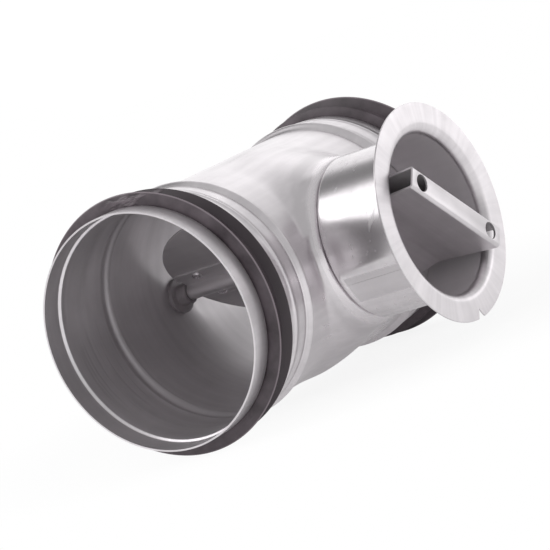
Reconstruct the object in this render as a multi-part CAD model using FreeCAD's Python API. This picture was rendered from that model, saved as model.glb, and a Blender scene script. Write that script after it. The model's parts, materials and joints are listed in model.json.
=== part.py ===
import FreeCAD, Part
import math
import os

# Round volume control damper for a 100 mm duct, sizes in millimetres.
# X is the duct axis, and the finished part's origin is the middle of its rim at the -X end.
# The shaft is parallel to Y and crosses the duct axis at mid-length. Z is up.
# Each piece is built about that crossing and moved to the origin at the end.
# Heights are measured from the duct axis towards -Y, where the handle cup opens.

# Duct body, one tube of galvanised sheet with a rolled spigot at each end
DUCT_LENGTH = 188.0
SPIGOT_RADIUS = 49.5
SHEET = 0.7
BODY_STEP_DOWN = 0.9
SEAT_START = 9.4
SEAT_WIDTH = 15.6
SEAT_DEPTH = 1.1
SEAT_RAMP = 1.0
LINE_BEAD_PLACE = 32.2
LINE_BEAD_WIDTH = 2.0
LINE_BEAD_HEIGHT = 0.4
STOP_BEAD_PLACE = 43.5
STOP_BEAD_WIDTH = 6.0
STOP_BEAD_HEIGHT = 1.4

# Pad pressed outwards in the tube wall, where the cup stands
PAD_RISE = 3.4
PAD_BLEND = 2.5
PAD_EDGE = 1.2
PAD_FOOT_MARGIN = 1.0

# Handle cup, one deep drawn piece with a flared flange
CUP_RADIUS = 34.5
CUP_HEIGHT = 38.2
CUP_SHEET = 0.7
CUP_CORNER = 2.0
MOUTH_BEND = 4.0
FLANGE_WIDTH = 11.6
NOTCH_DEPTH = 4.2
NOTCH_WIDTH = 5.2
CUP_RIVET_CIRCLE = 16.0
CUP_RIVET_COUNT = 4
CUP_RIVET_RADIUS = 1.6
CUP_RIVET_HEAD = 1.1

# Gaskets, double lipped rubber rings stretched into the seats
GASKET_BAND = 1.3
FRONT_LIP_SET_BACK = 1.5
FRONT_LIP_HEIGHT = 5.3
REAR_LIP_SET_IN = 1.7
REAR_LIP_HEIGHT = 3.6
LIP_TIP = 0.8
LIP_ROOT = 2.0

# Shaft and its two bushes
SHAFT_RADIUS = 2.5
SHAFT_END_RADIUS = 2.0
SHAFT_FLAT = 0.4
RUNNING_CLEARANCE = 0.05
FIT_CLEARANCE = 0.05
END_PLAY = 0.4
BUSH_RADIUS = 5.0
BUSH_NECK_RADIUS = 4.7
BUSH_FLANGE_RADIUS = 7.75
BUSH_FLANGE = 2.0
BUSH_THREAD_END = 0.4
BUSH_WASHER_RADIUS = 9.0
BUSH_WASHER = 1.0
BUSH_NUT_ACROSS_FLATS = 15.0
BUSH_NUT = 3.0
FAR_BUSH_END = 3.6
FAR_BUSH_CAP = 1.2
CLIP_RADIUS = 9.0
CLIP = 0.8
CLIP_SLOTS = 6
CLIP_SLOT_WIDTH = 1.4

# Blade, a flat disc riveted under a hat strap that grips the shaft
BLADE_GAP = 3.9
BLADE_SHEET = 0.8
BLADE_NOTCH_CLEARANCE = 1.8
STRAP_SHEET = 0.8
STRAP_FLANGE = 8.3
STRAP_END_SET_IN = 3.0
STRAP_RIVET_RADIUS = 1.45
STRAP_RIVET_HEAD = 1.0
STRAP_RIVET_SET_IN = 10.0
STRAP_RIVET_EDGE = 3.2

# Dial plate, hub and the fasteners at the top of the shaft
CONE_WASHER = 0.6
CONE_WASHER_RADIUS = 6.5
CONE_WASHER_DISH = 0.35
WASHER_PLAY = 0.2
HUB_RADIUS = 8.0
HUB_FLANGE = 0.8
HUB_SPIGOT_WALL = 1.15
HUB_SPIGOT_END = 0.1
DIAL_SHEET = 1.0
DIAL_GAP = 0.3
SPLIT_WASHER = 1.0
SPLIT_GAP = 0.8
SHAFT_NUT_ACROSS_FLATS = 7.0
SHAFT_NUT = 3.2
SHAFT_THREAD_END = 1.2

# Handle, one folded sheet in the shape of a tall hat with splayed legs
HANDLE_HEIGHT = 37.4
HANDLE_NUT_GAP = 0.3
HANDLE_SHEET = 1.0
HANDLE_BEND = 1.5
HANDLE_END_GAP = 3.0
HANDLE_END_LEAN = 4.4
HANDLE_KNEE_HEIGHT = 9.8
HANDLE_KNEE_BEND = 6.0
HANDLE_SPLAY = 3.5
HANDLE_FOOT = 7.0
HANDLE_HOLE_RADIUS = 3.6
HANDLE_HOLE_SET_IN = 6.7
HANDLE_RIVET_PLACE = 14.0
HANDLE_RIVET_RADIUS = 1.45
HANDLE_RIVET_HEAD = 1.0

# Lock screws, turned through the holes in the handle's top
LOCK_SCREW_RADIUS = 2.0
LOCK_HEAD_RADIUS = 3.3
LOCK_HEAD = 2.4
LOCK_HEAD_LIFT = 3.0
LOCK_SLOT_WIDTH = 1.0
LOCK_SLOT_DEPTH = 1.1
LOCK_TIP_GAP = 0.3
LOCK_NUT_RADIUS = 3.6
LOCK_NUT_SPIGOT_RADIUS = 2.9
LOCK_NUT = 2.5

# Turn of the blade from fully open in the position shown
REST_ANGLE = 39.6

# Rivet heads and tails, each a share of the rivet's shank
RIVET_HEAD_SHARE = 1.6
RIVET_TAIL_SHARE = 1.35
RIVET_TAIL_LENGTH_SHARE = 0.8

# Places worked out from the sizes, each a distance from the duct axis
BODY_RADIUS = SPIGOT_RADIUS - BODY_STEP_DOWN
BORE_RADIUS = BODY_RADIUS - SHEET
PAD_TOP = BODY_RADIUS + PAD_RISE
PAD_UNDER = PAD_TOP - SHEET
CUP_FLOOR = PAD_TOP + CUP_SHEET
CUP_BORE_RADIUS = CUP_RADIUS - CUP_SHEET
FLANGE_FACE = PAD_TOP + CUP_HEIGHT
FLANGE_RADIUS = CUP_RADIUS + FLANGE_WIDTH
BUSH_TOP = CUP_FLOOR + BUSH_WASHER + BUSH_NUT + BUSH_THREAD_END
HUB_UNDER = BUSH_TOP + WASHER_PLAY + CONE_WASHER + CONE_WASHER_DISH
DIAL_UNDER = HUB_UNDER + HUB_FLANGE
DIAL_TOP = DIAL_UNDER + DIAL_SHEET
DIAL_RADIUS = CUP_BORE_RADIUS - DIAL_GAP
HUB_SPIGOT_RADIUS = SHAFT_RADIUS + FIT_CLEARANCE + HUB_SPIGOT_WALL
HUB_TOP = DIAL_TOP + HUB_SPIGOT_END
SPLIT_WASHER_RADIUS = SHAFT_NUT_ACROSS_FLATS / 2
SHAFT_TOP = HUB_TOP + SPLIT_WASHER + SHAFT_NUT + SHAFT_THREAD_END
FAR_BUSH_OUT = BODY_RADIUS + FAR_BUSH_END
SHAFT_FAR_END = FAR_BUSH_OUT - FAR_BUSH_CAP - END_PLAY
BLADE_RADIUS = BORE_RADIUS - BLADE_GAP
STRAP_HALF_LENGTH = BLADE_RADIUS - STRAP_END_SET_IN
NECK_END = STRAP_HALF_LENGTH + END_PLAY
HANDLE_WIDTH = SHAFT_NUT_ACROSS_FLATS + 2 * HANDLE_NUT_GAP + 2 * HANDLE_SHEET
HANDLE_TOP = DIAL_TOP + HANDLE_HEIGHT
HANDLE_ROOT = HANDLE_WIDTH / 2 + HANDLE_SPLAY
HANDLE_TOP_END = CUP_BORE_RADIUS - HANDLE_END_GAP
HANDLE_FOOT_END = HANDLE_TOP_END - HANDLE_END_LEAN
LOCK_PLACE = HANDLE_TOP_END - HANDLE_HOLE_SET_IN

ORIGIN = FreeCAD.Vector(0, 0, 0)
ALONG_DUCT = FreeCAD.Vector(1, 0, 0)
ALONG_SHAFT = FreeCAD.Vector(0, 1, 0)
UP = FreeCAD.Vector(0, 0, 1)


def duct_section(along, radius):
    """Point of a section through the duct axis."""
    return FreeCAD.Vector(along, 0, radius)


def shaft_section(radius, height):
    """Point of a section through the shaft axis, height measured towards the cup."""
    return FreeCAD.Vector(radius, -height, 0)


def closed_face(path, place):
    """Face inside a path of points. A pair of points is an arc: its middle and its end."""
    edges = []
    start = path[0]
    here = start
    for step in path[1:] + [start]:
        if isinstance(step[0], tuple):
            middle, end = step
            edges.append(Part.Arc(place(*here), place(*middle), place(*end)).toShape())
            here = end
        elif math.dist(here, step) > 1e-6:
            edges.append(Part.makeLine(place(*here), place(*step)))
            here = step
    return Part.Face(Part.Wire(edges))


def rounded(corners):
    """Closed path through corners, each given by its two places and the radius of its bend."""
    path = []
    for k, (a, b, radius) in enumerate(corners):
        back = (corners[k - 1][0] - a, corners[k - 1][1] - b)
        after = corners[(k + 1) % len(corners)]
        on = (after[0] - a, after[1] - b)
        back = (back[0] / math.hypot(*back), back[1] / math.hypot(*back))
        on = (on[0] / math.hypot(*on), on[1] / math.hypot(*on))
        half_angle = math.acos(back[0] * on[0] + back[1] * on[1]) / 2
        reach = radius / math.tan(half_angle)
        path.append((a + back[0] * reach, b + back[1] * reach))
        if radius > 0:
            to_middle = radius / math.sin(half_angle) - radius
            across = (back[0] + on[0], back[1] + on[1])
            share = to_middle / math.hypot(*across)
            middle = (a + across[0] * share, b + across[1] * share)
            path.append((middle, (a + on[0] * reach, b + on[1] * reach)))
    return path


def turned(path):
    """Solid turned about the shaft axis from points of radius and height."""
    return closed_face(path, shaft_section).revolve(ORIGIN, ALONG_SHAFT, 360)


def disc(radius, bottom, top):
    """Cylinder on the shaft axis between two heights."""
    return Part.makeCylinder(radius, top - bottom, shaft_section(0, bottom), -ALONG_SHAFT)


def ring(inner, outer, bottom, top):
    """Plain ring on the shaft axis."""
    return disc(outer, bottom, top).cut(disc(inner, bottom, top))


def hexagon(across_flats, bottom, top):
    """Six sided prism on the shaft axis."""
    corner = across_flats / math.sqrt(3)
    angles = [math.radians(60 * k) for k in range(7)]
    points = [FreeCAD.Vector(corner * math.cos(a), -bottom, corner * math.sin(a)) for a in angles]
    return Part.Face(Part.makePolygon(points)).extrude(-ALONG_SHAFT * (top - bottom))


def moved(shape, across, up):
    """Copy of a shape moved square to the shaft axis."""
    return shape.translated(FreeCAD.Vector(across, 0, up))


def round_pattern(shape, count, circle, first=45.0):
    """Copies of a shape spread on a circle about the shaft axis."""
    copies = []
    for k in range(count):
        angle = math.radians(first + 360.0 * k / count)
        copies.append(moved(shape, circle * math.cos(angle), circle * math.sin(angle)))
    return copies


def cut_all(shape, tools):
    """Shape with every tool cut out of it."""
    return shape.cut(Part.makeCompound(tools))


def at_rest(shape):
    """Moving piece turned from fully open to the position shown."""
    return shape.rotated(ORIGIN, ALONG_SHAFT, REST_ANGLE)


def wave(start, end):
    """Two arcs that leave the start and reach the end level, as a rolled shoulder does."""
    run = (end[0] - start[0]) / 2
    rise = (end[1] - start[1]) / 2
    radius = (run ** 2 + rise ** 2) / (2 * abs(rise))
    half_turn = math.asin(abs(run) / radius) / 2
    side = math.copysign(radius * math.sin(half_turn), run)
    lift = math.copysign(radius * (1 - math.cos(half_turn)), rise)
    middle = (start[0] + run, start[1] + rise)
    first = ((start[0] + side, start[1] + lift), middle)
    second = ((end[0] - side, end[1] - lift), end)
    return [first, second]


def end_outline(inset):
    """Half of the tube's outline from the rim to mid-length, moved in by the inset."""
    spigot = SPIGOT_RADIUS - inset
    seat = spigot - SEAT_DEPTH
    body = BODY_RADIUS - inset
    seat_end = SEAT_START + SEAT_WIDTH
    half_line = LINE_BEAD_WIDTH / 2
    half_stop = STOP_BEAD_WIDTH / 2
    crest = (STOP_BEAD_PLACE, spigot + STOP_BEAD_HEIGHT)
    outline = [
        (0.0, spigot),
        (SEAT_START, spigot),
        (SEAT_START + SEAT_RAMP, seat),
        (seat_end - SEAT_RAMP, seat),
        (seat_end, spigot),
        (LINE_BEAD_PLACE - half_line, spigot),
        ((LINE_BEAD_PLACE, spigot + LINE_BEAD_HEIGHT), (LINE_BEAD_PLACE + half_line, spigot)),
        (STOP_BEAD_PLACE - half_stop, spigot),
    ]
    outline += wave((STOP_BEAD_PLACE - half_stop, spigot), crest)
    outline += wave(crest, (STOP_BEAD_PLACE + half_stop, body))
    outline.append((DUCT_LENGTH / 2, body))
    return outline


def tube_solid(inset, overrun=0.0):
    """Solid of revolution inside the tube's outline, both ends alike."""
    path = end_outline(inset)
    radius_at_rim = path[0][1]
    path = [(-overrun, 0.0), (-overrun, radius_at_rim)] + path
    path.append((DUCT_LENGTH / 2, 0.0))
    face = closed_face(path, duct_section)
    half = face.revolve(ORIGIN, ALONG_DUCT, 360)
    half.translate(ALONG_DUCT * (-DUCT_LENGTH / 2))
    other = half.mirror(ORIGIN, ALONG_DUCT)
    return half.fuse(other).removeSplitter()


def edges_where(shape, test):
    """Edges of a shape on which every sampled point passes the test."""
    found = []
    for edge in shape.Edges:
        if all(test(point) for point in edge.discretize(7)):
            found.append(edge)
    return found


def with_pad(tube, inset, blend, edge_radius):
    """Tube solid with the pad added. The pad is a cone, blended into plain tube and rounded at the top."""
    top = PAD_TOP - inset
    foot = BODY_RADIUS - PAD_FOOT_MARGIN - inset
    body = BODY_RADIUS - inset
    upper = CUP_RADIUS - inset
    reach = foot + blend
    plain = Part.makeCylinder(body, 2 * reach, ALONG_DUCT * -reach, ALONG_DUCT)
    boss = plain.fuse(Part.makeCone(foot, upper, top, ORIGIN, -ALONG_SHAFT))
    near = 0.01

    def on_foot(point):
        off_body = abs(math.hypot(point.y, point.z) - body)
        slope = foot + (upper - foot) * (-point.y / top)
        off_cone = abs(math.hypot(point.x, point.z) - slope)
        return off_body < near and off_cone < near

    def on_top(point):
        return abs(-point.y - top) < near

    boss = boss.makeFillet(blend, edges_where(boss, on_foot))
    boss = boss.makeFillet(edge_radius, edges_where(boss, on_top))
    return tube.fuse(boss)


def cup_rivet_holes(radius):
    """Cutters for the rivets that join the cup and the pad."""
    cutter = disc(radius, PAD_UNDER - SHEET, CUP_FLOOR + CUP_SHEET)
    return round_pattern(cutter, CUP_RIVET_COUNT, CUP_RIVET_CIRCLE)


def duct_body():
    """Tube with a gasket seat, a line bead and a stop bead at each end, and the cup's pad."""
    blend = min(PAD_BLEND, 0.75 * PAD_RISE)
    edge = min(PAD_EDGE, 0.35 * PAD_RISE)
    outside = with_pad(tube_solid(0.0), 0.0, blend, edge)
    inside = with_pad(tube_solid(SHEET, SHEET), SHEET, blend + SHEET, edge)
    wall = outside.cut(inside)
    holes = cup_rivet_holes(CUP_RIVET_RADIUS + FIT_CLEARANCE)
    holes.append(disc(BUSH_RADIUS + FIT_CLEARANCE, 0, PAD_TOP + SHEET))
    holes.append(disc(BUSH_RADIUS + FIT_CLEARANCE, -BODY_RADIUS - SHEET, 0))
    return cut_all(wall, holes)


def gasket():
    """Rubber ring for the seat at the -X end, with a tall lip and a low lip."""
    seat = SPIGOT_RADIUS - SEAT_DEPTH
    band = seat + GASKET_BAND
    start = SEAT_START + SEAT_RAMP
    end = SEAT_START + SEAT_WIDTH - SEAT_RAMP
    tall = SPIGOT_RADIUS + FRONT_LIP_HEIGHT
    low = SPIGOT_RADIUS + REAR_LIP_HEIGHT
    tip = SEAT_START + FRONT_LIP_SET_BACK
    low_tip = end - REAR_LIP_SET_IN
    path = [
        (start, seat),
        (start, band),
        (tip, tall),
        (tip + LIP_TIP, tall),
        (start + LIP_ROOT, band),
        (end - LIP_ROOT - REAR_LIP_SET_IN, band),
        (low_tip, low),
        (low_tip + LIP_TIP, low),
        (end, band),
        (end, seat),
    ]
    rubber = closed_face(path, duct_section).revolve(ORIGIN, ALONG_DUCT, 360)
    return rubber.translated(ALONG_DUCT * (-DUCT_LENGTH / 2))


def handle_cup():
    """Drawn cup with a flat floor, rounded corner, flared mouth and notched flange."""
    back = FLANGE_FACE - CUP_SHEET
    corners = [
        (0.0, PAD_TOP, 0.0),
        (CUP_RADIUS, PAD_TOP, CUP_CORNER),
        (CUP_RADIUS, back, MOUTH_BEND - CUP_SHEET),
        (FLANGE_RADIUS, back, 0.0),
        (FLANGE_RADIUS, FLANGE_FACE, 0.0),
        (CUP_BORE_RADIUS, FLANGE_FACE, MOUTH_BEND),
        (CUP_BORE_RADIUS, CUP_FLOOR, CUP_CORNER - CUP_SHEET),
        (0.0, CUP_FLOOR, 0.0),
    ]
    half_notch = NOTCH_WIDTH / 2
    notch_points = [
        FreeCAD.Vector(0, -back + CUP_SHEET, -FLANGE_RADIUS + NOTCH_DEPTH),
        FreeCAD.Vector(half_notch, -back + CUP_SHEET, -FLANGE_RADIUS),
        FreeCAD.Vector(half_notch, -back + CUP_SHEET, -FLANGE_RADIUS - NOTCH_DEPTH),
        FreeCAD.Vector(-half_notch, -back + CUP_SHEET, -FLANGE_RADIUS - NOTCH_DEPTH),
        FreeCAD.Vector(-half_notch, -back + CUP_SHEET, -FLANGE_RADIUS),
    ]
    notch = Part.Face(Part.makePolygon(notch_points + notch_points[:1]))
    notch = notch.extrude(-ALONG_SHAFT * (3 * CUP_SHEET))
    holes = cup_rivet_holes(CUP_RIVET_RADIUS + FIT_CLEARANCE)
    holes.append(disc(BUSH_RADIUS + FIT_CLEARANCE, PAD_UNDER, CUP_FLOOR + CUP_SHEET))
    return cut_all(turned(rounded(corners)), holes + [notch])


def rivet(shank, head_height, under, top):
    """Rivet through sheets from the height under to the height top, with a domed head above."""
    head = shank * RIVET_HEAD_SHARE
    tail = shank * RIVET_TAIL_SHARE
    tail_end = under - shank * RIVET_TAIL_LENGTH_SHARE
    dome_radius = (head ** 2 + head_height ** 2) / (2 * head_height)
    turn = math.asin(head / dome_radius) / 2
    middle = (dome_radius * math.sin(turn), top + head_height - dome_radius * (1 - math.cos(turn)))
    path = [
        (0.0, tail_end),
        (tail, tail_end),
        (tail, under),
        (shank, under),
        (shank, top),
        (head, top),
        (middle, (0.0, top + head_height)),
    ]
    return turned(path)


def cup_rivets():
    """Rivets that hold the cup's floor on the pad."""
    one = rivet(CUP_RIVET_RADIUS, CUP_RIVET_HEAD, PAD_UNDER, CUP_FLOOR)
    return Part.makeCompound(round_pattern(one, CUP_RIVET_COUNT, CUP_RIVET_CIRCLE))


def main_bush():
    """Bush clamped through the pad and the cup's floor, with a neck towards the strap."""
    bore = SHAFT_RADIUS + RUNNING_CLEARANCE
    path = [
        (bore, NECK_END),
        (BUSH_NECK_RADIUS, NECK_END),
        (BUSH_NECK_RADIUS, PAD_UNDER - BUSH_FLANGE),
        (BUSH_FLANGE_RADIUS, PAD_UNDER - BUSH_FLANGE),
        (BUSH_FLANGE_RADIUS, PAD_UNDER),
        (BUSH_RADIUS, PAD_UNDER),
        (BUSH_RADIUS, BUSH_TOP),
        (bore, BUSH_TOP),
    ]
    return turned(path)


def bush_washer():
    """Flat washer under the bush nut."""
    inner = BUSH_RADIUS + FIT_CLEARANCE
    return ring(inner, BUSH_WASHER_RADIUS, CUP_FLOOR, CUP_FLOOR + BUSH_WASHER)


def bush_nut():
    """Thin nut that pulls the bush's flange against the pad."""
    bottom = CUP_FLOOR + BUSH_WASHER
    top = bottom + BUSH_NUT
    hole = disc(BUSH_RADIUS + FIT_CLEARANCE, bottom, top)
    return hexagon(BUSH_NUT_ACROSS_FLATS, bottom, top).cut(hole)


def far_bush():
    """Closed bush pushed out through the wall opposite the cup."""
    bore = SHAFT_RADIUS + RUNNING_CLEARANCE
    flange_face = BORE_RADIUS - BUSH_FLANGE
    path = [
        (bore, -NECK_END),
        (BUSH_NECK_RADIUS, -NECK_END),
        (BUSH_NECK_RADIUS, -flange_face),
        (BUSH_FLANGE_RADIUS, -flange_face),
        (BUSH_FLANGE_RADIUS, -FAR_BUSH_OUT),
        (0.0, -FAR_BUSH_OUT),
        (0.0, -FAR_BUSH_OUT + FAR_BUSH_CAP),
        (bore, -FAR_BUSH_OUT + FAR_BUSH_CAP),
    ]
    blank = turned(path)
    sleeve = disc(BUSH_RADIUS, -FAR_BUSH_OUT, 0)
    length = 4 * BUSH_FLANGE_RADIUS
    bore_space = Part.makeCylinder(BORE_RADIUS, length, ALONG_DUCT * (-length / 2), ALONG_DUCT)
    return blank.common(sleeve.fuse(bore_space)).removeSplitter()


def far_bush_clip():
    """Slotted push-on clip that keeps the far bush in the wall."""
    bottom = -BODY_RADIUS - FIT_CLEARANCE - CLIP
    top = bottom + CLIP
    inner = BUSH_RADIUS + FIT_CLEARANCE
    slot_end = (inner + CLIP_RADIUS) / 2
    slot = Part.makeBox(slot_end, CLIP, CLIP_SLOT_WIDTH, FreeCAD.Vector(0, -top, -CLIP_SLOT_WIDTH / 2))
    slots = [slot.rotated(ORIGIN, ALONG_SHAFT, 360.0 * k / CLIP_SLOTS) for k in range(CLIP_SLOTS)]
    return cut_all(ring(inner, CLIP_RADIUS, bottom, top), slots)


def blade_shaft():
    """Rod through both bushes, with a flat for the hub and a thinner threaded end."""
    rod = disc(SHAFT_RADIUS, -SHAFT_FAR_END, HUB_TOP)
    flat_face = SHAFT_RADIUS - SHAFT_FLAT
    size = 2 * SHAFT_RADIUS
    corner = FreeCAD.Vector(-SHAFT_RADIUS, -HUB_TOP, -flat_face - size)
    flat = Part.makeBox(size, HUB_TOP - HUB_UNDER, size, corner)
    end = disc(SHAFT_END_RADIUS, HUB_TOP, SHAFT_TOP)
    return at_rest(rod.cut(flat).fuse(end).removeSplitter())


def damper_blade():
    """Flat disc on the back of the shaft, notched where the bush necks pass."""
    plate = Part.makeCylinder(BLADE_RADIUS, BLADE_SHEET, UP * SHAFT_RADIUS, UP)
    half_width = BUSH_NECK_RADIUS + BLADE_NOTCH_CLEARANCE
    depth = 2 * STRAP_END_SET_IN
    cutters = strap_rivet_holes()
    for side in (-1, 1):
        near_edge = side * (STRAP_HALF_LENGTH + END_PLAY)
        low = min(near_edge, near_edge + side * depth)
        corner = FreeCAD.Vector(-half_width, low, SHAFT_RADIUS - BLADE_SHEET)
        cutters.append(Part.makeBox(2 * half_width, depth, 3 * BLADE_SHEET, corner))
    return at_rest(cut_all(plate, cutters))


def strap_rivet_points():
    """Places of the strap's rivets, across and along the shaft."""
    across = SHAFT_RADIUS + STRAP_SHEET + STRAP_FLANGE - STRAP_RIVET_EDGE
    along = STRAP_HALF_LENGTH - STRAP_RIVET_SET_IN
    return [(a, b) for a in (-across, across) for b in (-along, along)]


def strap_rivet_holes():
    """Cutters for the strap's rivets."""
    radius = STRAP_RIVET_RADIUS + FIT_CLEARANCE
    height = 2 * (STRAP_SHEET + BLADE_SHEET)
    bottom = SHAFT_RADIUS - height / 2
    return [Part.makeCylinder(radius, height, FreeCAD.Vector(a, b, bottom), UP) for a, b in strap_rivet_points()]


def shaft_strap():
    """Hat strap over the shaft, its flanges flat on the blade."""
    inner = SHAFT_RADIUS
    outer = SHAFT_RADIUS + STRAP_SHEET
    reach = outer + STRAP_FLANGE
    path = [
        (reach, inner),
        (reach, inner - STRAP_SHEET),
        (outer, inner - STRAP_SHEET),
        (outer, 0.0),
        ((0.0, -outer), (-outer, 0.0)),
        (-outer, inner - STRAP_SHEET),
        (-reach, inner - STRAP_SHEET),
        (-reach, inner),
        (-inner, inner),
        (-inner, 0.0),
        ((0.0, -inner), (inner, 0.0)),
        (inner, inner),
    ]

    def across_shaft(across, up):
        return FreeCAD.Vector(across, -STRAP_HALF_LENGTH, up)

    strap = closed_face(path, across_shaft).extrude(ALONG_SHAFT * (2 * STRAP_HALF_LENGTH))
    return at_rest(cut_all(strap, strap_rivet_holes()))


def strap_rivets():
    """Rivets through the strap's flanges and the blade, heads on the strap's side."""
    one = rivet(STRAP_RIVET_RADIUS, STRAP_RIVET_HEAD, -SHAFT_RADIUS - BLADE_SHEET, STRAP_SHEET - SHAFT_RADIUS)
    one.rotate(ORIGIN, ALONG_DUCT, 90)
    rivets = [one.translated(FreeCAD.Vector(a, b, 0)) for a, b in strap_rivet_points()]
    return at_rest(Part.makeCompound(rivets))


def cone_washer():
    """Dished spring washer that brakes the hub on the bush."""
    bottom = BUSH_TOP + WASHER_PLAY
    inner = SHAFT_RADIUS + FIT_CLEARANCE
    path = [
        (inner, bottom + CONE_WASHER_DISH),
        (CONE_WASHER_RADIUS, bottom),
        (CONE_WASHER_RADIUS, bottom + CONE_WASHER),
        (inner, bottom + CONE_WASHER_DISH + CONE_WASHER),
    ]
    return at_rest(turned(path))


def dial_hub():
    """Turned hub, its bore flattened to the shaft and its spigot in the dial plate."""
    path = [
        (0.0, HUB_UNDER),
        (HUB_RADIUS, HUB_UNDER),
        (HUB_RADIUS, DIAL_UNDER),
        (HUB_SPIGOT_RADIUS, DIAL_UNDER),
        (HUB_SPIGOT_RADIUS, HUB_TOP),
        (0.0, HUB_TOP),
    ]
    bore = disc(SHAFT_RADIUS + FIT_CLEARANCE, HUB_UNDER, HUB_TOP)
    flat_face = SHAFT_RADIUS - SHAFT_FLAT + FIT_CLEARANCE
    size = 2 * SHAFT_RADIUS
    corner = FreeCAD.Vector(-size / 2, -HUB_TOP, -flat_face - size)
    bore = bore.cut(Part.makeBox(size, HUB_TOP - HUB_UNDER, size, corner))
    return at_rest(turned(path).cut(bore))


def handle_rivet_points():
    """Places of the handle's rivets on its two feet."""
    up = HANDLE_ROOT + (HANDLE_FOOT + HANDLE_BEND) / 2
    return [(a, b) for a in (-HANDLE_RIVET_PLACE, HANDLE_RIVET_PLACE) for b in (-up, up)]


def handle_rivet_holes():
    """Cutters for the handle's rivets."""
    cutter = disc(HANDLE_RIVET_RADIUS + FIT_CLEARANCE, DIAL_UNDER - DIAL_SHEET, DIAL_TOP + 2 * HANDLE_SHEET)
    return [moved(cutter, a, b) for a, b in handle_rivet_points()]


def dial_plate():
    """Round plate that turns with the handle above the cup's floor."""
    holes = handle_rivet_holes()
    holes.append(disc(HUB_SPIGOT_RADIUS + FIT_CLEARANCE, DIAL_UNDER, DIAL_TOP))
    nut_hole = disc(LOCK_NUT_SPIGOT_RADIUS + FIT_CLEARANCE, DIAL_UNDER, DIAL_TOP)
    holes += [moved(nut_hole, side * LOCK_PLACE, 0) for side in (-1, 1)]
    return at_rest(cut_all(disc(DIAL_RADIUS, DIAL_UNDER, DIAL_TOP), holes))


def hat_section():
    """Path round the handle's section: top, two sides with a knee, splayed legs and feet."""
    half = HANDLE_WIDTH / 2
    wall = half - HANDLE_SHEET
    knee = DIAL_TOP + HANDLE_KNEE_HEIGHT
    foot_top = DIAL_TOP + HANDLE_SHEET
    reach = HANDLE_ROOT + HANDLE_FOOT
    splay = math.atan(HANDLE_SPLAY / (knee - foot_top))
    inner_knee = knee - HANDLE_SHEET * math.tan(splay / 2)
    inner_root = half + (knee - DIAL_TOP) * math.tan(splay) - HANDLE_SHEET / math.cos(splay)
    inner_bend = HANDLE_BEND - HANDLE_SHEET
    right = [
        (half, HANDLE_TOP, HANDLE_BEND),
        (half, knee, HANDLE_KNEE_BEND),
        (HANDLE_ROOT, foot_top, inner_bend),
        (reach, foot_top, 0.0),
        (reach, DIAL_TOP, 0.0),
        (inner_root, DIAL_TOP, HANDLE_BEND),
        (wall, inner_knee, HANDLE_KNEE_BEND + HANDLE_SHEET),
        (wall, HANDLE_TOP - HANDLE_SHEET, inner_bend),
    ]
    left = [(-across, height, bend) for across, height, bend in reversed(right)]
    return rounded(right + left)


def handle():
    """Folded handle: a top with two holes, two tall sides that splay at the knee, and two feet."""
    length = 2 * HANDLE_TOP_END

    def across_handle(across, height):
        return FreeCAD.Vector(-HANDLE_TOP_END, -height, across)

    folded = closed_face(hat_section(), across_handle).extrude(ALONG_DUCT * length)
    ends = [
        (-HANDLE_FOOT_END, DIAL_TOP),
        (HANDLE_FOOT_END, DIAL_TOP),
        (HANDLE_TOP_END, HANDLE_TOP),
        (-HANDLE_TOP_END, HANDLE_TOP),
    ]
    reach = HANDLE_ROOT + HANDLE_FOOT

    def seen_from_side(along, height):
        return FreeCAD.Vector(along, -height, -reach)

    outline = closed_face(ends, seen_from_side).extrude(UP * (2 * reach))
    round_end = disc(DIAL_RADIUS, DIAL_TOP, HANDLE_TOP)
    hole = disc(HANDLE_HOLE_RADIUS, HANDLE_TOP - 2 * HANDLE_BEND, HANDLE_TOP + HANDLE_SHEET)
    holes = [moved(hole, side * LOCK_PLACE, 0) for side in (-1, 1)]
    shaped = folded.common(outline).common(round_end)
    return at_rest(cut_all(shaped, holes + handle_rivet_holes()))


def handle_rivets():
    """Rivets through the handle's feet and the dial plate."""
    one = rivet(HANDLE_RIVET_RADIUS, HANDLE_RIVET_HEAD, DIAL_UNDER, DIAL_TOP + HANDLE_SHEET)
    return at_rest(Part.makeCompound([moved(one, a, b) for a, b in handle_rivet_points()]))


def lock_screws():
    """Two slotted screws in the dial plate, their tips just above the cup's floor."""
    head_under = DIAL_TOP + LOCK_HEAD_LIFT
    head_top = head_under + LOCK_HEAD
    shank = disc(LOCK_SCREW_RADIUS, CUP_FLOOR + LOCK_TIP_GAP, head_under)
    head = disc(LOCK_HEAD_RADIUS, head_under, head_top)
    top_edges = edges_where(head, lambda point: abs(-point.y - head_top) < 0.01)
    head = head.makeFillet(LOCK_HEAD / 3, top_edges)
    corner = FreeCAD.Vector(-LOCK_HEAD_RADIUS, -head_top, -LOCK_SLOT_WIDTH / 2)
    slot = Part.makeBox(2 * LOCK_HEAD_RADIUS, LOCK_SLOT_DEPTH, LOCK_SLOT_WIDTH, corner)
    screw = head.cut(slot).fuse(shank).removeSplitter()
    return at_rest(Part.makeCompound([moved(screw, side * LOCK_PLACE, 0) for side in (-1, 1)]))


def lock_nuts():
    """Two round press nuts under the dial plate."""
    path = [
        (LOCK_SCREW_RADIUS + FIT_CLEARANCE, DIAL_UNDER - LOCK_NUT),
        (LOCK_NUT_RADIUS, DIAL_UNDER - LOCK_NUT),
        (LOCK_NUT_RADIUS, DIAL_UNDER),
        (LOCK_NUT_SPIGOT_RADIUS, DIAL_UNDER),
        (LOCK_NUT_SPIGOT_RADIUS, DIAL_TOP),
        (LOCK_SCREW_RADIUS + FIT_CLEARANCE, DIAL_TOP),
    ]
    nut = turned(path)
    return at_rest(Part.makeCompound([moved(nut, side * LOCK_PLACE, 0) for side in (-1, 1)]))


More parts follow.
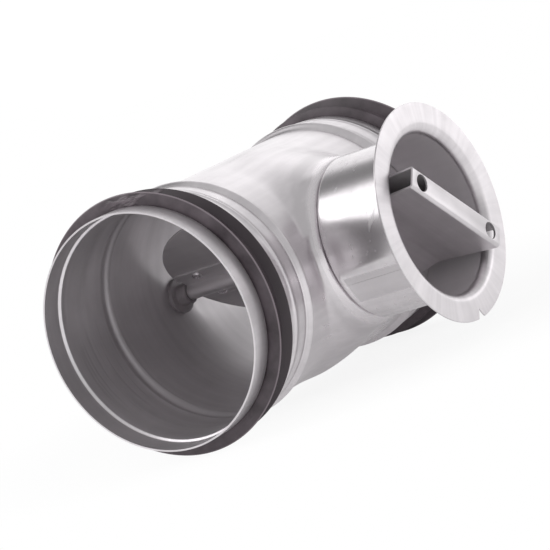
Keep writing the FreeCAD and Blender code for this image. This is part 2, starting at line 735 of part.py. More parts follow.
def split_washer():
    """Spring washer with one slanted gap, under the shaft nut."""
    top = HUB_TOP + SPLIT_WASHER
    washer = ring(SHAFT_END_RADIUS + FIT_CLEARANCE, SPLIT_WASHER_RADIUS, HUB_TOP, top)
    corner = FreeCAD.Vector(0, -top, -SPLIT_GAP / 2)
    gap = Part.makeBox(2 * SPLIT_WASHER_RADIUS, SPLIT_WASHER, SPLIT_GAP, corner)
    return at_rest(washer.cut(gap))


def shaft_nut():
    """Nut that clamps the hub on the shaft's shoulder."""
    bottom = HUB_TOP + SPLIT_WASHER
    top = bottom + SHAFT_NUT
    hole = disc(SHAFT_END_RADIUS + FIT_CLEARANCE, bottom, top)
    return at_rest(hexagon(SHAFT_NUT_ACROSS_FLATS, bottom, top).cut(hole))


front_gasket = gasket()
PIECES = {
    "duct_body": duct_body(),
    "front_gasket": front_gasket,
    "rear_gasket": front_gasket.mirror(ORIGIN, ALONG_DUCT),
    "handle_cup": handle_cup(),
    "cup_rivets": cup_rivets(),
    "main_bush": main_bush(),
    "bush_washer": bush_washer(),
    "bush_nut": bush_nut(),
    "far_bush": far_bush(),
    "far_bush_clip": far_bush_clip(),
    "blade_shaft": blade_shaft(),
    "damper_blade": damper_blade(),
    "shaft_strap": shaft_strap(),
    "strap_rivets": strap_rivets(),
    "cone_washer": cone_washer(),
    "dial_hub": dial_hub(),
    "dial_plate": dial_plate(),
    "handle": handle(),
    "handle_rivets": handle_rivets(),
    "lock_screws": lock_screws(),
    "lock_nuts": lock_nuts(),
    "split_washer": split_washer(),
    "shaft_nut": shaft_nut(),
}

os.makedirs("parts", exist_ok=True)
for name, piece in PIECES.items():
    placed = piece.translated(ALONG_DUCT * (DUCT_LENGTH / 2))
    placed.exportStep("parts/" + name + ".step")
    print(name, len(placed.Solids), round(placed.Volume, 1), placed.isValid())
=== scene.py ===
import json
import math

import bmesh
import bpy
import numpy as np
from mathutils import Matrix, Vector


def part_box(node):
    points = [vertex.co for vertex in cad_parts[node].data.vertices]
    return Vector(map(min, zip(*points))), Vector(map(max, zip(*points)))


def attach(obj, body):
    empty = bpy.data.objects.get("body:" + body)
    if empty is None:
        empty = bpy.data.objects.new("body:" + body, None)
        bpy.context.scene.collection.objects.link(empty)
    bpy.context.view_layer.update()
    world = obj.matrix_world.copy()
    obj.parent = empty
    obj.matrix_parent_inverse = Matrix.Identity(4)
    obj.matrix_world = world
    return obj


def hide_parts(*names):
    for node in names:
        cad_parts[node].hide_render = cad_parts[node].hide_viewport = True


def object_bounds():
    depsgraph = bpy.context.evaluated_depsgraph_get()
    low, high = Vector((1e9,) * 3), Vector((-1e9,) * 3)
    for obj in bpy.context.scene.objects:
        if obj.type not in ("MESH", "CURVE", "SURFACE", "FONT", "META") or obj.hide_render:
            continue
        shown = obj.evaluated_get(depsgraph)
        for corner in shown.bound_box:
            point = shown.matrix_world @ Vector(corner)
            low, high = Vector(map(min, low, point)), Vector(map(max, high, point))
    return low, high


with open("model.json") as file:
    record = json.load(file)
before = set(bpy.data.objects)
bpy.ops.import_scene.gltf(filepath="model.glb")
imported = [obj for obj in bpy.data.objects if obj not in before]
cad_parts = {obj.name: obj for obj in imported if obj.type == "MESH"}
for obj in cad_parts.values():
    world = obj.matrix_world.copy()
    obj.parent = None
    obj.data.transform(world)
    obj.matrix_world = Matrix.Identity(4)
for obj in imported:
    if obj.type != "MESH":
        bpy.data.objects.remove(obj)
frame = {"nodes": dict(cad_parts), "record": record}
cad_low, cad_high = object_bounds()

# The camera stands before the near rim and a little to the cup's side, and is rolled over.
# It looks at a point near the crossing of the duct and the shaft with a long lens.
CAMERA_AZIMUTH = math.radians(-55.68)
CAMERA_ELEVATION = math.radians(5.26)
CAMERA_ROLL = math.radians(-21.23)
CAMERA_DISTANCE = 1.2269
CAMERA_TARGET = Vector((0.0950, -0.0021, -0.0040))
CAMERA_LENS = 190.6
CAMERA_SENSOR = 36.0
CAMERA_NEAR_LIMIT = 0.05
CAMERA_FAR_LIMIT = 50.0

camera = bpy.data.objects.new("camera", bpy.data.cameras.new("camera"))
bpy.context.scene.collection.objects.link(camera)
bpy.context.scene.camera = camera
back = Vector((
    math.sin(CAMERA_AZIMUTH) * math.cos(CAMERA_ELEVATION),
    -math.cos(CAMERA_AZIMUTH) * math.cos(CAMERA_ELEVATION),
    math.sin(CAMERA_ELEVATION),
))
upright = (-back).to_track_quat("-Z", "Y").to_matrix()
rolled = upright @ Matrix.Rotation(CAMERA_ROLL, 3, "Z")
camera.matrix_world = Matrix.Translation(CAMERA_TARGET + back * CAMERA_DISTANCE) @ rolled.to_4x4()
camera.data.lens = CAMERA_LENS
camera.data.sensor_width = CAMERA_SENSOR
camera.data.clip_start = CAMERA_NEAR_LIMIT
camera.data.clip_end = CAMERA_FAR_LIMIT


# The duct body is one tube of galvanised sheet. Each end has a plain nose, a rolled seat for the
# gasket, a fine line bead and a stop bead. The wall under the cup is pressed out to a flat round
# pad, and the pressing left small dents beside it.
MM = 0.001
SPIGOT_RADIUS = frame["record"]["mounts"][0]["dims"]["r_mm"]
DUCT_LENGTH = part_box("duct_body")[1].x / MM
MIDDLE = DUCT_LENGTH / 2
BODY_RADIUS = 48.6
SHEET = 0.7
SEAT_START = 9.4
SEAT_END = 25.0
SEAT_RAMP = 1.0
SEAT_DEPTH = 1.1
INNER_RAMP = 7.0
LINE_BEAD_PLACE = 32.2
LINE_BEAD_HALF = 1.0
LINE_BEAD_HEIGHT = 0.4
LINE_BEAD_START = LINE_BEAD_PLACE - LINE_BEAD_HALF
LINE_BEAD_END = LINE_BEAD_PLACE + LINE_BEAD_HALF
STOP_BEAD_PLACE = 43.5
STOP_BEAD_HALF = 3.0
STOP_BEAD_HEIGHT = 1.4
STOP_BEAD_START = STOP_BEAD_PLACE - STOP_BEAD_HALF
STOP_BEAD_END = STOP_BEAD_PLACE + STOP_BEAD_HALF
INNER_STOP_SHARE = 0.45
FINE_LINE_DEPTH = 0.30
FINE_LINE_HALF = 0.45
PAD_TOP = -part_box("duct_body")[0].y / MM
PAD_RADIUS = 34.5
PAD_FOOT_RADIUS = BODY_RADIUS - 1.0
PAD_BLEND = 10.0
PAD_EDGE = 2.4
PAD_RIM = 0.8
PAD_LEAST_COSINE = 0.2
LEAST_COSINE = 1e-3
LEAST_ROOT = 1e-6
# A dent has a place along the duct, a turn in degrees from the cup's axis, the run and the climb
# of its direction, half its length, half its width and its height.
DENTS = (
    (75.0, 33.0, 17.5, 5.6, 5.0, 1.6, 1.0),
    (58.5, 14.0, 7.0, 11.0, 5.0, 1.6, 1.0),
)
# A stretch of the duct's end has a start, an end and the number of steps between them.
END_STRETCHES = (
    (0.0, SEAT_START, 4),
    (SEAT_START, SEAT_START + SEAT_RAMP, 5),
    (SEAT_START + SEAT_RAMP, SEAT_END - SEAT_RAMP, 4),
    (SEAT_END - SEAT_RAMP, SEAT_END, 5),
    (SEAT_END, LINE_BEAD_START, 3),
    (LINE_BEAD_START, LINE_BEAD_END, 8),
    (LINE_BEAD_END, STOP_BEAD_START - FINE_LINE_HALF, 3),
    (STOP_BEAD_START - FINE_LINE_HALF, STOP_BEAD_START, 1),
    (STOP_BEAD_START, STOP_BEAD_END, 28),
)
BODY_GAP = 0.25
BODY_POINTS = 90
CUP_SIDE_SPREAD = 66.0
CUP_SIDE_POINTS = 120
FAR_SIDE_POINTS = 82
SKIN_WELD = 1e-4
DUCT_OUTSIDE = 0
DUCT_BORE = 1
DUCT_NOSE = 2


def smooth_step(low, high, value):
    """Share from 0 to 1 that leaves the low value and reaches the high value level."""
    share = np.clip((value - low) / (high - low), 0.0, 1.0)
    return share * share * (3.0 - 2.0 * share)


def smooth_max(first, second, blend):
    """The larger of two fields, with a round blend where they cross."""
    near = np.clip(blend - np.abs(first - second), 0.0, blend) / blend
    return np.maximum(first, second) + near * near * blend / 4.0


def duct_radius(along, ramp_out=SEAT_RAMP, line_height=LINE_BEAD_HEIGHT, stop_share=1.0):
    """Radius of the tube, without its pad, at distances from the -X rim."""
    inwards = np.minimum(along, DUCT_LENGTH - along)
    into_seat = smooth_step(SEAT_START, SEAT_START + SEAT_RAMP, inwards)
    out_of_seat = smooth_step(SEAT_END - SEAT_RAMP, SEAT_END - SEAT_RAMP + ramp_out, inwards)
    line = np.clip(1.0 - ((inwards - LINE_BEAD_PLACE) / LINE_BEAD_HALF) ** 2, 0.0, 1.0)
    up = smooth_step(STOP_BEAD_START, STOP_BEAD_PLACE, inwards)
    down = smooth_step(STOP_BEAD_PLACE, STOP_BEAD_END, inwards)
    spigot = SPIGOT_RADIUS - SEAT_DEPTH * (into_seat - out_of_seat)
    rise = STOP_BEAD_HEIGHT * stop_share
    fall = rise + SPIGOT_RADIUS - BODY_RADIUS
    from_line = np.minimum(np.abs(inwards - STOP_BEAD_START), np.abs(inwards - STOP_BEAD_END))
    fine = FINE_LINE_DEPTH * np.clip(1.0 - from_line / FINE_LINE_HALF, 0.0, 1.0)
    return spigot + line_height * line + rise * up - fall * down - stop_share * fine


def pad_radius(along, turn, inset):
    """Distance from the duct axis to the pad's surface, in directions turned from the cup's axis."""
    foot = PAD_FOOT_RADIUS - inset
    top = PAD_TOP - inset
    lean = (foot - (PAD_RADIUS - inset)) / top
    towards_cup = np.cos(turn)
    square = np.sin(turn) ** 2 - (lean * towards_cup) ** 2
    linear = 2.0 * foot * lean * towards_cup
    constant = (along - MIDDLE) ** 2 - foot ** 2
    root = np.sqrt(np.maximum(linear ** 2 - 4.0 * square * constant, 0.0))
    cone = -2.0 * constant / np.maximum(linear + root, LEAST_ROOT)
    plane = top / np.maximum(towards_cup, LEAST_COSINE)
    inside = (constant < 0.0) & (towards_cup > PAD_LEAST_COSINE)
    height = -smooth_max(-cone, -plane, PAD_EDGE)
    return np.where(inside, height, 0.0)


def skin(name, grid, wrap_rows=True, sharp=40.0):
    """Object with quads over a grid of points in millimetres, smooth but for its sharp edges."""
    rows, columns = grid.shape[:2]
    here = np.arange(rows * columns).reshape(rows, columns)
    below = np.roll(here, -1, axis=0)
    quads = np.stack([here, np.roll(here, -1, axis=1), np.roll(below, -1, axis=1), below], axis=-1)
    quads = quads[:rows if wrap_rows else rows - 1]
    points = grid.reshape(-1, 3) * MM
    quads = quads.reshape(-1, 4)
    corners = points[quads]
    sweep = np.cross(corners[:, 2] - corners[:, 0], corners[:, 3] - corners[:, 1])
    if np.einsum("ij,ij->", corners.mean(axis=1) - points.mean(axis=0), sweep) < 0:
        quads = quads[:, ::-1]
    mesh = bpy.data.meshes.new(name)
    mesh.from_pydata(points.tolist(), [], quads.tolist())
    work = bmesh.new()
    work.from_mesh(mesh)
    bmesh.ops.remove_doubles(work, verts=work.verts, dist=SKIN_WELD * MM)
    work.to_mesh(mesh)
    work.free()
    mesh.polygons.foreach_set("use_smooth", [True] * len(mesh.polygons))
    mesh.set_sharp_from_angle(angle=math.radians(sharp))
    made = bpy.data.objects.new(name, mesh)
    bpy.context.scene.collection.objects.link(made)
    return made


def round_duct(along, radius, turn):
    """Points at distances along the duct axis, out from it and turned from the cup's axis."""
    return np.stack([along + 0.0 * turn, -radius * np.cos(turn), radius * np.sin(turn)], axis=-1)


class Value:
    """A socket of a node graph. Sums, differences and products of it add Math nodes."""

    def __init__(self, graph, socket):
        self.graph = graph
        self.socket = socket

    def math(self, operation, first, second):
        return self.graph.node("ShaderNodeMath", {0: first, 1: second}, operation=operation)

    def __add__(self, other):
        return self.math("ADD", self, other)

    def __mul__(self, other):
        return self.math("MULTIPLY", self, other)

    def __sub__(self, other):
        return self.math("SUBTRACT", self, other)

    def __rsub__(self, other):
        return self.math("SUBTRACT", other, self)

    __radd__ = __add__
    __rmul__ = __mul__

    def share(self, low, high, start=0.0, end=1.0):
        """The value taken from one range to another, and held at its ends."""
        inputs = {"Value": self, "From Min": low, "From Max": high, "To Min": start, "To Max": end}
        return self.graph.node("ShaderNodeMapRange", inputs, clamp=True)


class Graph:
    """A node tree. Its node method adds a node: first the settings, then the inputs."""

    def __init__(self, tree):
        self.tree = tree

    def feed(self, socket, value):
        if isinstance(value, Value):
            self.tree.links.new(value.socket, socket)
        else:
            socket.default_value = value

    def node(self, kind, inputs, output=0, **settings):
        made = self.tree.nodes.new(kind)
        for name, value in settings.items():
            setattr(made, name, value)
        for name, value in inputs.items():
            self.feed(made.inputs[name], value)
        return Value(self, made.outputs[output]) if made.outputs else None

    def place(self, stretch=(1.0, 1.0, 1.0), turn=(0.0, 0.0, 0.0)):
        """Object coordinates, first turned and then stretched along each axis."""
        coordinates = self.node("ShaderNodeTexCoord", {}, output="Object")
        turned = self.node("ShaderNodeMapping", {"Vector": coordinates, "Rotation": turn})
        return self.node("ShaderNodeMapping", {"Vector": turned, "Scale": stretch})

    def noise(self, scale, detail, stretch=(1.0, 1.0, 1.0), roughness=0.5, turn=(0.0, 0.0, 0.0)):
        inputs = {"Vector": self.place(stretch, turn), "Scale": scale, "Detail": detail}
        inputs["Roughness"] = roughness
        return self.node("ShaderNodeTexNoise", inputs)

    def off_axis(self):
        """Vector square from the shaft's axis to each point, in metres."""
        coordinates = self.node("ShaderNodeTexCoord", {}, output="Object")
        inputs = {"Vector": coordinates, "Location": (-MIDDLE * MM, 0.0, 0.0), "Scale": (1.0, 0.0, 1.0)}
        return self.node("ShaderNodeMapping", inputs)

    def ring(self, radius, width):
        """Share that is 1 at a radius round the shaft's axis and 0 at the width from it."""
        away = self.node("ShaderNodeVectorMath", {0: self.off_axis()}, output="Value", operation="LENGTH")
        return away.share(radius - width, radius) * away.share(radius, radius + width, 1.0, 0.0)

    def noise_from_axis(self, scale, detail):
        """Noise in streaks that run out from the shaft's axis."""
        outwards = self.node("ShaderNodeVectorMath", {0: self.off_axis()}, operation="NORMALIZE")
        return self.node("ShaderNodeTexNoise", {"Vector": outwards, "Scale": scale, "Detail": detail})

    def near(self, point, reach):
        """Share that is 1 at a point, given in metres, and fades to 0 at its reach."""
        inputs = {0: self.place(), 1: point}
        away = self.node("ShaderNodeVectorMath", inputs, output="Value", operation="DISTANCE")
        return away.share(0.0, reach, 1.0, 0.0)

    def colour(self, share, dark, light):
        """The dark colour where the share is 0 and the light one where it is 1."""
        # Input 0 is the share, inputs 6 and 7 are the colours, and output 2 is their mix.
        inputs = {0: share, 6: (*dark, 1.0), 7: (*light, 1.0)}
        return self.node("ShaderNodeMix", inputs, output=2, data_type="RGBA")


class Finish(Graph):
    """A material with one Principled shader."""

    def __init__(self, name, **constants):
        self.material = bpy.data.materials.new(name)
        self.material.use_nodes = True
        super().__init__(self.material.node_tree)
        self.shader = self.tree.nodes["Principled BSDF"]
        for words, value in constants.items():
            self.shader.inputs[words.replace("_", " ").title()].default_value = value

    def bump(self, height, distance, strength):
        inputs = {"Height": height, "Distance": distance, "Strength": strength}
        return self.node("ShaderNodeBump", inputs)

    def surface(self, **links):
        for words, value in links.items():
            self.feed(self.shader.inputs[words.replace("_", " ").title()], value)
        return self.material


# The mottling, the drawing lines and the marks each have a scale and a weight in the tone.
MOTTLE_SCALE = 55.0
MOTTLE_WEIGHT = 0.42
LINE_SCALE = 260.0
LINE_SCALE_ROUND_AXIS = 15.0
LINE_WEIGHT = 0.33
MARK_SCALE = 140.0
MARK_WEIGHT = 0.25
WAVE_SCALE = 16.0
TONE_RANGE = (0.35, 0.65)
SHEEN_SPREAD = 0.04
SHEET_BUMP = 0.0006
SHEET_BUMP_STRENGTH = 0.6
SCRATCH_SCALE = 420.0
SCRATCH_STRETCH = (0.05, 1.0, 1.0)
SCRATCH_TURN = (0.4, 0.9, 0.7)
SCRATCH_RANGE = (0.62, 0.72)
SCRATCH_DEPTH = 0.4
SCRATCH_ROUGHER = 0.08
SCUFF_PLACE = (0.030, 0.045, -0.016)
SCUFF_REACH = 0.026
SCUFF_SCALE = 520.0
SCUFF_RANGE = (0.52, 0.64)
SCUFF_DARKER = 0.30
# A painted highlight line round the pad just outside the cup's foot, with a band of painted shade beyond
# it: its radius, its width, and how much lighter and darker they are.
FOOT_HIGHLIGHT_RADIUS = (PAD_RADIUS + 0.6) * MM
RING_WIDTH = 0.0009
RING_PAINTED_HIGHLIGHT = 0.35
RING_SHADE_OFFSET = 2.5 * RING_WIDTH
RING_SHADE_WIDTH = 2.0 * RING_WIDTH
RING_PAINTED_SHADE = 0.20
ALONG_DUCT = (0.06, 1.0, 1.0)
ROUND_DUCT = (1.0, 0.05, 0.05)


def grey(level):
    """Grey of a level, with the faint tint that all metal and rubber here has."""
    return (level * 1.03, level * 0.985, level * 1.015)


def steel_sheet(name, dark, light, rough, grain, depth, metal=0.95, uneven=1.0, turn=(0.0, 0.0, 0.0),
                worn=1.0, scuff=None, ring=None):
    """Zinc-coated steel: faint mottling, drawing lines, light scratches and a slight unevenness.

    Dark and light are the ends of its greys. The grain stretches the drawing lines, or is radial
    where they run out from the shaft, and the depth is how deep they are. A worn share of 0 leaves
    the scratches out. The scuff is the place of a rubbed patch. The ring is the radius of a painted
    highlight line round the shaft's axis, with a band of painted shade just outside it.
    """
    finish = Finish(name, metallic=metal)
    mottle = finish.noise(MOTTLE_SCALE, detail=4.0)
    if grain == "radial":
        lines = finish.noise_from_axis(LINE_SCALE_ROUND_AXIS, detail=5.0)
    else:
        lines = finish.noise(LINE_SCALE, detail=3.0, stretch=grain, turn=turn)
    waves = finish.noise(WAVE_SCALE, detail=1.5)
    marks = finish.noise(MARK_SCALE, detail=6.0, roughness=0.7)
    scratch = finish.noise(SCRATCH_SCALE, detail=2.0, stretch=SCRATCH_STRETCH, turn=SCRATCH_TURN)
    scratch = scratch.share(*SCRATCH_RANGE)
    tone = MOTTLE_WEIGHT * mottle + LINE_WEIGHT * lines
    tone = tone + MARK_WEIGHT * (marks * worn + 0.5 * (1.0 - worn))
    if scuff:
        rubbed = finish.noise(SCUFF_SCALE, detail=3.0, stretch=grain, turn=turn).share(*SCUFF_RANGE)
        tone = tone - SCUFF_DARKER * (finish.near(scuff, SCUFF_REACH).share(0.0, 0.5) * rubbed)
    # A painted highlight line at the ring's radius, and a band of painted shade just outside it.
    if ring:
        shade = finish.ring(ring + RING_SHADE_OFFSET, RING_SHADE_WIDTH)
        tone = tone + RING_PAINTED_HIGHLIGHT * finish.ring(ring, RING_WIDTH) - RING_PAINTED_SHADE * shade
    roughness = tone.share(*TONE_RANGE, rough + SHEEN_SPREAD, rough - SHEEN_SPREAD)
    height = waves * uneven + lines * depth - scratch * (SCRATCH_DEPTH * depth * worn)
    return finish.surface(
        base_color=finish.colour(tone.share(*TONE_RANGE), grey(dark), grey(light)),
        roughness=roughness + SCRATCH_ROUGHER * worn * scratch,
        normal=finish.bump(height, SHEET_BUMP, SHEET_BUMP_STRENGTH),
    )


duct_steel = steel_sheet(
    "duct_galvanised", dark=0.63, light=0.77, rough=0.30, grain=ALONG_DUCT, depth=0.008,
    metal=0.92, worn=0.35, ring=FOOT_HIGHLIGHT_RADIUS,
)
# The nose takes a lighter, less metallic copy of the duct's steel: a painted highlight on it. Its
# scratches are wear.
nose_highlight_steel = steel_sheet(
    "nose_galvanised", dark=0.68, light=0.82, rough=0.34, grain=ALONG_DUCT, depth=0.02,
    metal=0.82, worn=0.6,
)
# The bore takes a darker copy of the duct's steel: painted shade inside the tube. Its scuff is a rubbed
# patch.
bore_shaded_steel = steel_sheet(
    "bore_galvanised", dark=0.50, light=0.60, rough=0.42, grain=ROUND_DUCT, depth=0.012,
    metal=0.75, worn=0.4, scuff=SCUFF_PLACE,
)

end_steps = [np.linspace(start, end, steps + 1)[:-1] for start, end, steps in END_STRETCHES]
near_end = np.concatenate([*end_steps, [STOP_BEAD_END]])
body_start = near_end[-1] + BODY_GAP
body_end = DUCT_LENGTH - near_end[-1] - BODY_GAP
body_stretch = np.linspace(body_start, body_end, BODY_POINTS)
along_outside = np.concatenate([near_end, body_stretch, DUCT_LENGTH - near_end[::-1]])
cup_side = np.linspace(-CUP_SIDE_SPREAD, CUP_SIDE_SPREAD, CUP_SIDE_POINTS)
far_side = np.linspace(CUP_SIDE_SPREAD, 360.0 - CUP_SIDE_SPREAD, FAR_SIDE_POINTS)[1:-1]
turns = np.radians(np.concatenate([cup_side, far_side]))


def duct_wall(along, plain, inset):
    """Grid of points on the tube's wall with its pad, moved in by the inset."""
    along = along[:, None]
    plain = plain[:, None] - inset + 0.0 * turns
    pad = pad_radius(along, turns, inset)
    lifted = smooth_max(plain, pad, PAD_BLEND)
    radius = np.where(pad > plain - PAD_BLEND, lifted, plain)
    for dent_along, dent_turn, run, climb, half_length, half_width, height in DENTS:
        across = (along - dent_along, (turns - math.radians(dent_turn)) * BODY_RADIUS)
        length = math.hypot(run, climb)
        down_it = (across[0] * run + across[1] * climb) / length
        beside_it = (across[1] * run - across[0] * climb) / length
        radius = radius + height * np.exp(-(down_it / half_length) ** 2 - (beside_it / half_width) ** 2)
    plane = (PAD_TOP - inset) / np.maximum(np.cos(turns), LEAST_COSINE)
    return round_duct(along, -smooth_max(-radius, -plane, PAD_RIM), turns)


along_inside = along_outside[::-1]
outer_wall = duct_wall(along_outside, duct_radius(along_outside), 0.0)
inner_wall = duct_wall(along_inside, duct_radius(along_inside, INNER_RAMP, 0.0, INNER_STOP_SHARE), SHEET)
duct_shell = skin("duct_shell", np.concatenate([outer_wall, inner_wall]), sharp=50.0)
for steel in (duct_steel, bore_shaded_steel, nose_highlight_steel):
    duct_shell.data.materials.append(steel)
for face in duct_shell.data.polygons:
    out = Vector((0.0, face.center.y, face.center.z))
    inwards = min(face.center.x / MM, DUCT_LENGTH - face.center.x / MM)
    if face.normal.dot(out) < 0.0:
        # The step inside the seat takes the nose's lighter steel as a painted highlight.
        on_step = SEAT_START < inwards < SEAT_START + SEAT_RAMP
        face.material_index = DUCT_NOSE if on_step else DUCT_BORE
    else:
        face.material_index = DUCT_NOSE if inwards < SEAT_START else DUCT_OUTSIDE
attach(duct_shell, "casing")
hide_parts("duct_body")


# Each gasket is one extruded rubber ring with a tall lip towards the rim and a low lip behind it.
# It is stretched into its seat and glued end to end at one place.
RUBBER_DARK = (0.046, 0.034, 0.041)
RUBBER_LIGHT = (0.240, 0.200, 0.224)
RUBBER_TONE = 0.44
RUBBER_ROUGHNESS = (0.36, 0.50)
RUBBER_GRAIN_SCALE = 700.0
RUBBER_GRAIN_DEPTH = 0.1
RUBBER_BUMP = 0.0004
RUBBER_BUMP_STRENGTH = 0.7
DUST_SCALE = 90.0
DUST_RANGE = (0.3, 0.7)
# Where the front gasket takes painted shade behind its tall lip, and how much darker it is.
BEHIND_LIP_START = (0.0150, 0.0175)
BEHIND_LIP_END = (0.04, 0.05)
BEHIND_LIP_PAINTED_SHADE = 0.35
# Where a painted highlight along the tall lip's tip starts and is full, and how much lighter it is.
TIP_START = 0.55
TIP_FULL = 0.25
TIP_PAINTED_HIGHLIGHT = 0.9
GLUE_PLACE = (0.0125, -0.010, 0.0525)
GLUE_REACH = 0.020
GLUE_SCALE = 330.0
GLUE_STRETCH = (1.0, 0.25, 1.0)
GLUE_LIGHTER = 0.58
GLUE_GLOSSIER = 0.16
SEAT_RADIUS = SPIGOT_RADIUS - SEAT_DEPTH
GASKET_START = SEAT_START + SEAT_RAMP
GASKET_END = SEAT_END - SEAT_RAMP
BAND_RADIUS = SEAT_RADIUS + 1.3
TALL_LIP_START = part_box("front_gasket")[0].x / MM
TALL_LIP_END = GASKET_START + 2.0
TALL_LIP_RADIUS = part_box("front_gasket")[1].z / MM
LOW_LIP_FOOT = GASKET_END - 3.7
LOW_LIP_START = GASKET_END - 1.7
LOW_LIP_RADIUS = SPIGOT_RADIUS + 3.6
# A lip's tip is a row of points: how far along it each lies and how far below its top.
LIP_TIP = ((0.0, 0.35), (0.15, 0.1), (0.4, 0.0), (0.65, 0.1), (0.8, 0.35))
GASKET_SEGMENTS = 360

rubber = Finish("gasket_rubber")
dust = rubber.noise(DUST_SCALE, detail=5.0)
smear = rubber.near(GLUE_PLACE, GLUE_REACH).share(0.1, 0.6)
glue = smear * rubber.noise(GLUE_SCALE, detail=3.0, stretch=GLUE_STRETCH).share(0.5, 0.62)
along_duct = rubber.node("ShaderNodeSeparateXYZ", {"Vector": rubber.place()}, output="X")
# Painted shade: the front gasket's rubber is darker on the low lip and the band behind the tall lip.
behind_lip_shade = along_duct.share(*BEHIND_LIP_START) * along_duct.share(*BEHIND_LIP_END, 1.0, 0.0)
inputs = {0: rubber.place((0.0, 1.0, 1.0))}
from_axis = rubber.node("ShaderNodeVectorMath", inputs, output="Value", operation="LENGTH")
# A painted highlight along the rounded tip of the tall lip.
tip_highlight = from_axis.share((TALL_LIP_RADIUS - TIP_START) * MM, (TALL_LIP_RADIUS - TIP_FULL) * MM)
tone = dust.share(*DUST_RANGE) * (RUBBER_TONE - BEHIND_LIP_PAINTED_SHADE * behind_lip_shade)
tone = tone + GLUE_LIGHTER * glue + TIP_PAINTED_HIGHLIGHT * tip_highlight
height = rubber.noise(RUBBER_GRAIN_SCALE, detail=2.0) * RUBBER_GRAIN_DEPTH + glue
rubber.surface(
    base_color=rubber.colour(tone, RUBBER_DARK, RUBBER_LIGHT),
    roughness=dust.share(*DUST_RANGE, *RUBBER_ROUGHNESS) - GLUE_GLOSSIER * glue,
    normal=rubber.bump(height, RUBBER_BUMP, RUBBER_BUMP_STRENGTH),
)


def lip_tip(start, radius):
    """Points of a lip's rounded tip, as places along the duct and radii."""
    return [(start + along, radius - drop) for along, drop in LIP_TIP]


gasket_path = np.array([
    (GASKET_START, SEAT_RADIUS),
    (GASKET_START, BAND_RADIUS),
    *lip_tip(TALL_LIP_START, TALL_LIP_RADIUS),
    (TALL_LIP_END, BAND_RADIUS),
    (LOW_LIP_FOOT, BAND_RADIUS),
    *lip_tip(LOW_LIP_START, LOW_LIP_RADIUS),
    (GASKET_END, BAND_RADIUS),
    (GASKET_END, SEAT_RADIUS),
])
gasket_turns = np.linspace(0.0, 2.0 * math.pi, GASKET_SEGMENTS + 1)[:-1]
for node, mirrored in (("front_gasket", False), ("rear_gasket", True)):
    along = DUCT_LENGTH - gasket_path[:, :1] if mirrored else gasket_path[:, :1]
    seal = skin(node.replace("gasket", "seal"), round_duct(along, gasket_path[:, 1:], gasket_turns))
    seal.data.materials.append(rubber.material)
    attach(seal, "casing")
    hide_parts(node)


# The handle cup is one deep drawn piece of galvanised sheet with a flared, notched flange.
# A crease from forming runs up the wall on its near side. It is riveted through its floor.
CUP_LOW, CUP_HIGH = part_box("handle_cup")
FLANGE_FACE = -CUP_LOW.y / MM
FLANGE_RADIUS = (CUP_HIGH.x - CUP_LOW.x) / 2 / MM
FLANGE_BEVEL = 0.1
FLANGE_BEVEL_HEIGHT = 0.12
FLANGE_POINTS = 5
CUP_BASE = -CUP_HIGH.y / MM
CUP_RADIUS = 34.5
CUP_SHEET = 0.7
CUP_CORNER = 2.0
CUP_WALL_POINTS = 7
CUP_SEGMENTS = 240
MOUTH_BEND = 4.0
MOUTH_STEPS = 13
CORNER_GAP = 1.0
RIM_GAP = 1.5
BUSH_HOLE = 5.05
NOTCH_DEPTH = 4.2
NOTCH_HALF_WIDTH = 2.6
NOTCH_TURN = -math.pi / 2
NOTCH_POINTS = 9
NOTCH_CLEAR = 0.01
CREASE_TURN = math.radians(-156.3)
CREASE_ABOVE = math.radians(12.0)
CREASE_BELOW = math.radians(34.0)
CREASE_DEPTH = 0.70
CREASE_STEPS = (-0.9, -0.35, -0.12, 0.0, 0.12, 0.35, 0.9)
CREASE_CLEAR = math.radians(1.2)
ALONG_CUP = (1.0, 0.08, 1.0)
CUP_UNDERSIDE_LEAN = 0.5
CUP_WALL = 0
CUP_INSIDE = 1
CUP_FLANGE = 2


def arc(centre, radius, start, end, steps=9):
    """Points of a round corner, its angles in degrees from the section's first axis."""
    angles = np.radians(np.linspace(start, end, steps))
    return [(centre[0] + radius * math.cos(a), centre[1] + radius * math.sin(a)) for a in angles]


def round_shaft(out, height, turn):
    """Points at distances out from the shaft axis and up towards the cup's mouth."""
    return np.stack([MIDDLE + out * np.cos(turn), -height + 0.0 * turn, out * np.sin(turn)], axis=-1)


def turned_away(turn, aim):
    """Angle between a turn and an aim, without sign."""
    return np.abs((turn - aim + math.pi) % (2 * math.pi) - math.pi)


floor_top = CUP_BASE + CUP_SHEET
flange_back = FLANGE_FACE - CUP_SHEET
bore = CUP_RADIUS - CUP_SHEET
inner_corner = CUP_CORNER - CUP_SHEET
back_bend = MOUTH_BEND - CUP_SHEET
wall_low = CUP_BASE + CUP_CORNER + CORNER_GAP
wall_heights = np.linspace(wall_low, flange_back - back_bend - CORNER_GAP, CUP_WALL_POINTS)
flat_outs = np.linspace(bore + MOUTH_BEND + RIM_GAP, FLANGE_RADIUS - RIM_GAP, FLANGE_POINTS)
cup_path = [(BUSH_HOLE, CUP_BASE), (CUP_RADIUS - CUP_CORNER - CORNER_GAP, CUP_BASE)]
cup_path += arc((CUP_RADIUS - CUP_CORNER, CUP_BASE + CUP_CORNER), CUP_CORNER, -90, 0)
cup_path += [(CUP_RADIUS, height) for height in wall_heights]
cup_path += arc((CUP_RADIUS + back_bend, flange_back - back_bend), back_bend, 180, 90, MOUTH_STEPS)
cup_path += [(out, flange_back) for out in flat_outs]
cup_path += [(FLANGE_RADIUS - FLANGE_BEVEL, flange_back)]
cup_path += [(FLANGE_RADIUS, flange_back + FLANGE_BEVEL_HEIGHT)]
